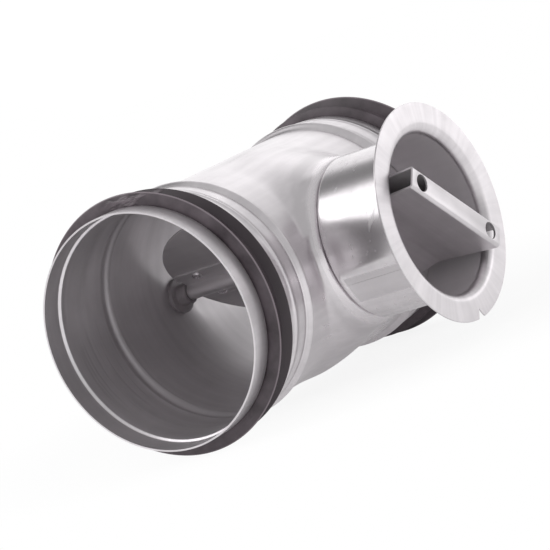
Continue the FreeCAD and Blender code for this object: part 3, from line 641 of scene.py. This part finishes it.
cup_path += [(FLANGE_RADIUS, FLANGE_FACE - FLANGE_BEVEL_HEIGHT)]
cup_path += [(FLANGE_RADIUS - FLANGE_BEVEL, FLANGE_FACE)]
cup_path += [(out, FLANGE_FACE) for out in flat_outs[::-1]]
cup_path += arc((bore + MOUTH_BEND, FLANGE_FACE - MOUTH_BEND), MOUTH_BEND, 90, 180, MOUTH_STEPS)
cup_path += [(bore, height) for height in wall_heights[::-1]]
cup_path += arc((bore - inner_corner, floor_top + inner_corner), inner_corner, 0, -90)
cup_path += [(bore - inner_corner - CORNER_GAP, floor_top), (BUSH_HOLE, floor_top)]
cup_path = np.array(cup_path)

notch_half_turn = math.asin(NOTCH_HALF_WIDTH / FLANGE_RADIUS)
notch_turns = NOTCH_TURN + np.linspace(-notch_half_turn, notch_half_turn, NOTCH_POINTS)
crease_turns = CREASE_TURN + np.radians(CREASE_STEPS)
even_turns = np.linspace(-math.pi, math.pi, CUP_SEGMENTS + 1)[:-1]
in_notch = turned_away(even_turns, NOTCH_TURN) < notch_half_turn + NOTCH_CLEAR
near_crease = turned_away(even_turns, CREASE_TURN) < CREASE_CLEAR
plain_turns = even_turns[~(in_notch | near_crease)]
cup_turns = np.sort(np.concatenate([plain_turns, notch_turns, crease_turns]))
off_notch = turned_away(cup_turns, NOTCH_TURN)
notched_rim = FLANGE_RADIUS - NOTCH_DEPTH * np.clip(1.0 - off_notch / notch_half_turn, 0.0, 1.0)
cup_out = np.minimum(cup_path[:, :1], notched_rim)
on_outer_wall = (cup_path[:, 0] == CUP_RADIUS) & (cup_path[:, 1] > wall_low - CORNER_GAP / 2)
crease_reach = np.where(cup_turns < CREASE_TURN, CREASE_ABOVE, CREASE_BELOW)
crease = CREASE_DEPTH * np.clip(1.0 - np.abs(cup_turns - CREASE_TURN) / crease_reach, 0.0, 1.0)
cup_out = cup_out - on_outer_wall[:, None] * crease
cup_shell = skin("cup_shell", round_shaft(cup_out, cup_path[:, 1:], cup_turns))

cup_steel = steel_sheet(
    "cup_galvanised", dark=0.60, light=0.78, rough=0.23, grain=ALONG_CUP, depth=0.03,
    metal=0.84, uneven=2.4, worn=1.1,
)
# The cup's inside takes a less metallic, duller copy of its steel that shows lighter: painted light in
# the cup's shade.
inner_lit_steel = steel_sheet(
    "cup_inside", dark=0.64, light=0.72, rough=0.44, grain=ALONG_CUP, depth=0.01,
    metal=0.5, uneven=0.3, worn=0.0,
)
flange_steel = steel_sheet(
    "cup_flange", dark=0.58, light=0.78, rough=0.32, grain="radial", depth=0.02, worn=0.4,
)
for steel in (cup_steel, inner_lit_steel, flange_steel):
    cup_shell.data.materials.append(steel)
for face in cup_shell.data.polygons:
    out = Vector((face.center.x - MIDDLE * MM, 0.0, face.center.z))
    on_flange = -face.center.y >= (FLANGE_FACE - MOUTH_BEND) * MM
    within_wall = out.length < (CUP_RADIUS - CUP_SHEET / 2) * MM
    on_inside = within_wall and face.normal.y < CUP_UNDERSIDE_LEAN
    face.material_index = CUP_FLANGE if on_flange else CUP_INSIDE if on_inside else CUP_WALL
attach(cup_shell, "casing")
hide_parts("handle_cup")


# Four rivets hold the cup's floor on the pad. Each is a blind rivet: a low domed head with the
# hollow that its pin leaves, and a set tail inside the duct.
FASTENER_SOCKETS = (
    ("INPUT", "Geometry", "Geometry"),
    ("INPUT", "Fastener", "Object"),
    ("INPUT", "Size", "Float"),
    ("INPUT", "Out", "Vector"),
    ("INPUT", "Seed", "Int"),
    ("INPUT", "Material", "Material"),
    ("OUTPUT", "Geometry", "Geometry"),
)
# The head and the tail are given in radii of the shank, as distances out and up.
RIVET_HEAD = (
    (0.0, 0.42), (0.50, 0.40), (0.62, 0.46), (0.66, 0.62), (0.78, 0.68), (1.0, 0.63), (1.3, 0.48),
    (1.52, 0.26), (1.6, 0.1), (1.58, 0.0), (1.0, 0.0),
)
RIVET_TAIL_LENGTH = 0.8
RIVET_TAIL = (
    (1.0, 0.0), (1.35, 0.0), (1.3, -0.35), (1.0, -0.65), (0.6, -RIVET_TAIL_LENGTH),
    (0.0, -RIVET_TAIL_LENGTH),
)
RIVET_SEGMENTS = 28
CAD_WELD = 1e-3
CUP_RIVET_RADIUS = 1.6
CUP_RIVET_GRIP = 1.4
CUP_SIDE = (0.0, -1.0, 0.0)


def fastener_tree():
    """Node tree that puts a copy of a fastener on each point, spun about its own axis."""
    tree = bpy.data.node_groups.new("fasteners_on_points", "GeometryNodeTree")
    for side, name, kind in FASTENER_SOCKETS:
        tree.interface.new_socket(name, in_out=side, socket_type="NodeSocket" + kind)
    graph = Graph(tree)
    names = [name for side, name, kind in FASTENER_SOCKETS if side == "INPUT"]
    given = {name: graph.node("NodeGroupInput", {}, output=name) for name in names}
    lean = graph.node("FunctionNodeAlignRotationToVector", {"Vector": given["Out"]}, axis="Z")
    # Inputs 2 and 3 of the random number are its least and its most.
    inputs = {2: 0.0, 3: math.tau, "Seed": given["Seed"]}
    angle = graph.node("FunctionNodeRandomValue", inputs, output=1, data_type="FLOAT")
    spin = graph.node("FunctionNodeAxisAngleToRotation", {"Axis": (0.0, 0.0, 1.0), "Angle": angle})
    turned = graph.node("FunctionNodeRotateRotation", {0: lean, 1: spin}, rotation_space="LOCAL")
    shape = graph.node("GeometryNodeObjectInfo", {"Object": given["Fastener"]}, output="Geometry")
    inputs = {"Points": given["Geometry"], "Instance": shape, "Rotation": turned, "Scale": given["Size"]}
    copies = graph.node("GeometryNodeInstanceOnPoints", inputs)
    real = graph.node("GeometryNodeRealizeInstances", {"Geometry": copies})
    plated = graph.node("GeometryNodeSetMaterial", {"Geometry": real, "Material": given["Material"]})
    graph.node("NodeGroupOutput", {"Geometry": plated})
    return tree


def rivet(name, grip):
    """Rivet along Z in units of its shank's radius, its head on the plane at zero."""
    path = np.array([*RIVET_HEAD, *((out, up - grip) for out, up in RIVET_TAIL)]) / MM
    turn = np.linspace(0.0, math.tau, RIVET_SEGMENTS + 1)[:-1]
    out, up = path[:, :1], path[:, 1:]
    grid = np.stack([out * np.cos(turn), out * np.sin(turn), up + 0.0 * turn], axis=-1)
    return skin(name, grid, wrap_rows=False, sharp=38.0)


def islands(node):
    """Corner points of each separate solid in a node."""
    work = bmesh.new()
    work.from_mesh(frame["nodes"][node].data)
    bmesh.ops.remove_doubles(work, verts=work.verts, dist=CAD_WELD * MM)
    left = set(work.verts)
    found = []
    for first in work.verts:
        if first not in left:
            continue
        left.remove(first)
        group = [first]
        for vert in group:
            joined = {edge.other_vert(vert) for edge in vert.link_edges} & left
            left -= joined
            group.extend(joined)
        found.append(np.array([vert.co for vert in group]))
    work.free()
    return found


def riveted(node, body, shank, grip, out, seed):
    """Rivets at the places of a node's solids, in that node's stead."""
    out = np.array(out)
    points = []
    for corners in islands(node):
        centre = (corners.min(axis=0) + corners.max(axis=0)) / 2
        seat = (corners @ out).min() + (RIVET_TAIL_LENGTH * shank + grip) * MM
        points.append(centre + out * (seat - centre @ out))
    host_mesh = bpy.data.meshes.new(node + "_places")
    host_mesh.from_pydata([tuple(point) for point in points], [], [])
    host = bpy.data.objects.new(node + "_places", host_mesh)
    bpy.context.scene.collection.objects.link(host)
    fastener = rivet(node + "_one", grip / shank)
    modifier = host.modifiers.new("rivets", "NODES")
    modifier.node_group = rivet_tree
    given = {
        "Fastener": fastener,
        "Size": shank * MM,
        "Out": tuple(float(share) for share in out),
        "Seed": seed,
        "Material": rivet_zinc,
    }
    for socket in rivet_tree.interface.items_tree:
        if socket.name in given:
            modifier[socket.identifier] = given[socket.name]
    shaped = host.evaluated_get(bpy.context.evaluated_depsgraph_get())
    mesh = bpy.data.meshes.new_from_object(shaped)
    mesh.name = node + "_set"
    rivets = bpy.data.objects.new(node + "_set", mesh)
    bpy.context.scene.collection.objects.link(rivets)
    host.modifiers.remove(modifier)
    bpy.data.objects.remove(host)
    bpy.data.objects.remove(fastener)
    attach(rivets, body)
    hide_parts(node)


rivet_tree = fastener_tree()
rivet_zinc = steel_sheet(
    "rivet_zinc", dark=0.60, light=0.80, rough=0.24, grain=(1.0, 1.0, 1.0), depth=0.01,
)
riveted("cup_rivets", "casing", CUP_RIVET_RADIUS, CUP_RIVET_GRIP, CUP_SIDE, seed=1)


# The main bush is moulded of grey nylon with a flange inside the duct and a thread for its nut.
# The far bush is a plain one, clipped into the opposite wall. Washer, nut and clip are zinc plated.
BUSH_DARK = (0.230, 0.205, 0.220)
BUSH_LIGHT = (0.340, 0.305, 0.325)
BUSH_ROUGHNESS = (0.4, 0.5)
BUSH_MOTTLE_SCALE = 300.0
BUSH_MOTTLE_RANGE = (0.3, 0.7)
BUSH_BUMP = 0.0001
BUSH_BUMP_STRENGTH = 0.5
BUSH_EDGE = 0.15
HARD_ANGLE = math.radians(32.0)
SHARP_ANGLE = math.radians(45.0)
EDGE_PROFILE = 0.6
# Slot of the rounded edges that take a painted highlight.
EDGE_HIGHLIGHT_SLOT = 1


def softened(node, body, material, edge, edge_highlight_material=None):
    """The node's own shape with its hard edges slightly rounded, in that node's stead."""
    mesh = frame["nodes"][node].data.copy()
    work = bmesh.new()
    work.from_mesh(mesh)
    bmesh.ops.remove_doubles(work, verts=work.verts, dist=CAD_WELD * MM)
    hard = [line for line in work.edges if line.is_manifold and line.calc_face_angle() > HARD_ANGLE]
    # Where an edge material is given, the rounded edges take it as a painted highlight.
    bmesh.ops.bevel(
        work, geom=hard, offset=edge * MM, segments=2, profile=EDGE_PROFILE,
        affect="EDGES", clamp_overlap=True, material=EDGE_HIGHLIGHT_SLOT if edge_highlight_material else -1,
    )
    work.to_mesh(mesh)
    work.free()
    mesh.name = node + "_soft"
    mesh.polygons.foreach_set("use_smooth", [True] * len(mesh.polygons))
    mesh.set_sharp_from_angle(angle=SHARP_ANGLE)
    mesh.materials.clear()
    mesh.materials.append(material)
    if edge_highlight_material:
        mesh.materials.append(edge_highlight_material)
    made = bpy.data.objects.new(node + "_soft", mesh)
    bpy.context.scene.collection.objects.link(made)
    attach(made, body)
    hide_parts(node)
    return made


bush_nylon = Finish("bush_nylon")
moulded = bush_nylon.noise(BUSH_MOTTLE_SCALE, detail=3.0)
bush_nylon.surface(
    base_color=bush_nylon.colour(moulded, BUSH_DARK, BUSH_LIGHT),
    roughness=moulded.share(*BUSH_MOTTLE_RANGE, *BUSH_ROUGHNESS),
    normal=bush_nylon.bump(moulded, BUSH_BUMP, BUSH_BUMP_STRENGTH),
)
softened("main_bush", "casing", bush_nylon.material, BUSH_EDGE)
softened("far_bush", "casing", bush_nylon.material, BUSH_EDGE)
for node in ("bush_washer", "bush_nut", "far_bush_clip"):
    softened(node, "casing", rivet_zinc, BUSH_EDGE)


# The shaft is bright drawn bar with turned ends and a flat for the hub. It crosses the duct.
# It runs in both bushes and carries the blade.
SHAFT_EDGE = 0.12

bar_steel = steel_sheet(
    "drawn_bar", dark=0.52, light=0.66, rough=0.26, grain=(1.0, 0.05, 1.0), depth=0.03,
)
softened("blade_shaft", "blade", bar_steel, SHAFT_EDGE)


# The blade is a flat disc cut from galvanised sheet. A hat strap folded from the same sheet grips
# the shaft on its far side, and rivets through both flanges hold the two together.
REST_TURN = math.radians(39.6)
BLADE_EDGE = 0.12
STRAP_RIVET_RADIUS = 1.45
STRAP_RIVET_GRIP = 1.6
STRAP_SIDE = (-math.sin(REST_TURN), 0.0, -math.cos(REST_TURN))

along_blade = (0.0, -REST_TURN, 0.0)
blade_steel = steel_sheet(
    "blade_galvanised", dark=0.66, light=0.76, rough=0.42, grain=(1.0, 0.1, 1.0), depth=0.02,
    metal=0.7, turn=along_blade, worn=0.3,
)
softened("damper_blade", "blade", blade_steel, BLADE_EDGE)
softened("shaft_strap", "blade", blade_steel, BLADE_EDGE)
riveted("strap_rivets", "blade", STRAP_RIVET_RADIUS, STRAP_RIVET_GRIP, STRAP_SIDE, seed=2)


# The hub is a turned steel collar, flattened to the shaft, on a dished washer that brakes it.
# The dial plate is a flat disc of galvanised sheet, pressed on the hub's spigot.
HUB_EDGE = 0.12
PLATE_EDGE = 0.12


def coated(node, material):
    """Gives a node of the part its surface."""
    mesh = frame["nodes"][node].data
    mesh.materials.clear()
    mesh.materials.append(material)


plate_steel = steel_sheet(
    "plate_galvanised", dark=0.60, light=0.74, rough=0.36, grain=(0.1, 1.0, 1.0), depth=0.02,
    metal=0.6, turn=along_blade, worn=0.2,
)
coated("cone_washer", rivet_zinc)
softened("dial_hub", "blade", bar_steel, HUB_EDGE)
softened("dial_plate", "blade", plate_steel, PLATE_EDGE)


# The handle is one strip of galvanised sheet, folded to a hat with two tall sides and two feet.
# It is brushed along its length, has two holes in its top, and four rivets hold its feet.
HANDLE_EDGE = 0.20
HANDLE_INSIDE = 2
HANDLE_INWARD_LEAN = 0.3
HANDLE_UNDERSIDE_LEAN = 0.5
HANDLE_RIVET_RADIUS = 1.45
HANDLE_RIVET_GRIP = 2.0

handle_steel = steel_sheet(
    "handle_galvanised", dark=0.56, light=0.75, rough=0.32, grain=(0.04, 1.0, 1.0), depth=0.008,
    metal=0.8, uneven=0.3, turn=along_blade, worn=0.1,
)
# The handle's inner faces take a darker, duller copy of its steel: painted shade inside the hat.
inside_shaded_zinc = steel_sheet(
    "handle_inside", dark=0.38, light=0.48, rough=0.50, grain=(1.0, 1.0, 1.0), depth=0.01,
    metal=0.4, turn=along_blade,
)
# The handle's rounded edges take a pale, hardly metallic material: a painted highlight along the sheet's
# edges.
edge_highlight_zinc = steel_sheet(
    "handle_edge", dark=0.80, light=0.88, rough=0.40, grain=(1.0, 1.0, 1.0), depth=0.01,
    metal=0.3, worn=0.2,
)
handle = softened("handle", "blade", handle_steel, HANDLE_EDGE, edge_highlight_zinc)
handle.data.materials.append(inside_shaded_zinc)
up_blade = Vector((math.sin(REST_TURN), 0.0, math.cos(REST_TURN)))
# Faces that look into the hat or down towards the cup take the painted shade.
for face in handle.data.polygons:
    across = face.center.x * up_blade.x + face.center.z * up_blade.z - MIDDLE * MM * up_blade.x
    towards_middle = -face.normal.dot(up_blade) * math.copysign(1.0, across)
    inside = towards_middle > HANDLE_INWARD_LEAN or face.normal.y > HANDLE_UNDERSIDE_LEAN
    if inside and face.material_index != EDGE_HIGHLIGHT_SLOT:
        face.material_index = HANDLE_INSIDE
riveted("handle_rivets", "blade", HANDLE_RIVET_RADIUS, HANDLE_RIVET_GRIP, CUP_SIDE, seed=3)


# Two slotted screws in press nuts lock the dial plate against the cup's floor.
# A nut on a spring washer clamps the hub on the shaft's shoulder. All are zinc plated.
NUT_EDGE = 0.12

for node in ("lock_screws", "lock_nuts", "split_washer", "shaft_nut"):
    softened(node, "blade", rivet_zinc, NUT_EDGE)


# The stage is a plain pale floor under the part and a pale room that fades behind the camera.
# Metal sees a few lighter and darker patches on its walls, and three large soft lamps stand round
# the part. The floor keeps a soft shadow.
FLOOR_GAP = 0.0005
FLOOR_REACH = 6.0
FLOOR_WHITE = (0.9, 0.9, 0.9, 1.0)
FLOOR_FADE = (-1.1, -0.45)
SHADOW_PLACE = (0.19, 0.03)
SHADOW_REACH = 0.215
SHADOW_SHARE = 0.12
SHADOW_IN_METAL = 0.75
ROOM_DIFFUSE = 0.72
ROOM_BEHIND = 0.59
ROOM_BESIDE = 0.80
ROOM_FADE = (-0.2, 0.85)
BACKDROP_EDGE = (0.93, 0.99)
SIGHT = -back
# A patch has the direction it lies in, the cosines at which it starts and is full, and how much
# it adds to the room's brightness.
WALL_PATCHES = (
    ((0.82, 0.25, 0.51), 0.80, 1.0, 0.52),
    ((0.16, 0.54, 0.83), 0.95, 0.985, -0.55),
    ((0.83, 0.02, 0.10), 0.90, 0.99, -0.22),
    ((0.45, -0.88, 0.10), 0.87, 0.97, 0.40),
)
# A lamp has the direction it stands in, its width, its height and its brightness, and whether it
# shows in metal.
LAMPS = (
    ("lamp_back", (0.83, 0.10, 0.53), 0.95, 0.75, 0.90, False),
    ("lamp_right", (0.82, -0.60, -0.02), 0.85, 0.70, 0.80, True),
    ("lamp_left", (-0.52, 0.53, 0.66), 0.75, 0.75, 1.60, True),
)
LAMP_DISTANCE = 1.2
LAMP_AIM = Vector((0.094, 0.0, 0.0))

level = cad_low.z - FLOOR_GAP
reach = FLOOR_REACH
corners = [(-reach, -reach, level), (reach, -reach, level), (reach, reach, level), (-reach, reach, level)]
floor_mesh = bpy.data.meshes.new("floor")
floor_mesh.from_pydata(corners, [], [(0, 1, 2, 3)])
floor = bpy.data.objects.new("floor", floor_mesh)
bpy.context.scene.collection.objects.link(floor)


def ray_shares(graph):
    """Two shares: rays from the camera, and rays off metal or through glass."""
    seen_ray = graph.node("ShaderNodeLightPath", {}, output="Is Camera Ray")
    glossy_ray = graph.node("ShaderNodeLightPath", {}, output="Is Glossy Ray")
    clear_ray = graph.node("ShaderNodeLightPath", {}, output="Is Transmission Ray")
    return seen_ray, (glossy_ray + clear_ray).share(0.0, 1.0)


floor_material = bpy.data.materials.new("floor_pale")
floor_material.use_nodes = True
floor_material.node_tree.nodes.clear()
ground = Graph(floor_material.node_tree)
inputs = {0: ground.place(), 1: tuple(SIGHT)}
along_sight = ground.node("ShaderNodeVectorMath", inputs, output="Value", operation="DOT_PRODUCT")
pale = ground.node("ShaderNodeBsdfDiffuse", {"Color": FLOOR_WHITE})
glow = ground.node("ShaderNodeEmission", {"Color": along_sight.share(*FLOOR_FADE, ROOM_BEHIND, 1.0)})
shadow = ground.near((*SHADOW_PLACE, level), SHADOW_REACH).share(0.0, 0.5)
from_camera, from_metal = ray_shares(ground)
in_camera = from_camera * (1.0 - shadow * SHADOW_SHARE)
in_metal = from_metal * (1.0 - shadow * SHADOW_IN_METAL)
shown = ground.node("ShaderNodeMixShader", {0: in_camera + in_metal, 1: pale, 2: glow})
ground.node("ShaderNodeOutputMaterial", {"Surface": shown})
floor_mesh.materials.append(floor_material)

world = bpy.data.worlds.new("room")
bpy.context.scene.world = world
world.use_nodes = True
room = Graph(world.node_tree)
direction = room.node("ShaderNodeTexCoord", {}, output="Generated")


def facing(aim):
    """Cosine of the angle between the direction looked in and an aim."""
    inputs = {0: direction, 1: tuple(Vector(aim).normalized())}
    return room.node("ShaderNodeVectorMath", inputs, output="Value", operation="DOT_PRODUCT")


sight = facing(SIGHT)
backdrop = sight.share(*ROOM_FADE, ROOM_BEHIND, ROOM_BESIDE)
backdrop = backdrop + sight.share(*BACKDROP_EDGE, 0.0, 1.0 - ROOM_BESIDE)
for aim, start, full, brighter in WALL_PATCHES:
    backdrop = backdrop + facing(aim).share(start, full, 0.0, brighter)
from_camera, from_metal = ray_shares(room)
seen = (from_camera + from_metal).share(0.0, 1.0)
brightness = seen * backdrop + (1.0 - seen) * ROOM_DIFFUSE
room.feed(room.tree.nodes["Background"].inputs["Color"], brightness)
room.feed(room.tree.nodes["Background"].inputs["Strength"], 1.0)

for name, aim, width, height, radiance, in_metal_too in LAMPS:
    lamp = bpy.data.lights.new(name, "AREA")
    lamp.shape = "RECTANGLE"
    lamp.size = width
    lamp.size_y = height
    lamp.energy = math.pi * width * height * radiance
    shown_lamp = bpy.data.objects.new(name, lamp)
    bpy.context.scene.collection.objects.link(shown_lamp)
    towards = Vector(aim).normalized()
    turn = towards.to_track_quat("Z", "Y").to_matrix().to_4x4()
    shown_lamp.matrix_world = Matrix.Translation(LAMP_AIM + towards * LAMP_DISTANCE) @ turn
    shown_lamp.visible_camera = False
    shown_lamp.visible_glossy = in_metal_too

bpy.context.scene.view_settings.view_transform = "Standard"
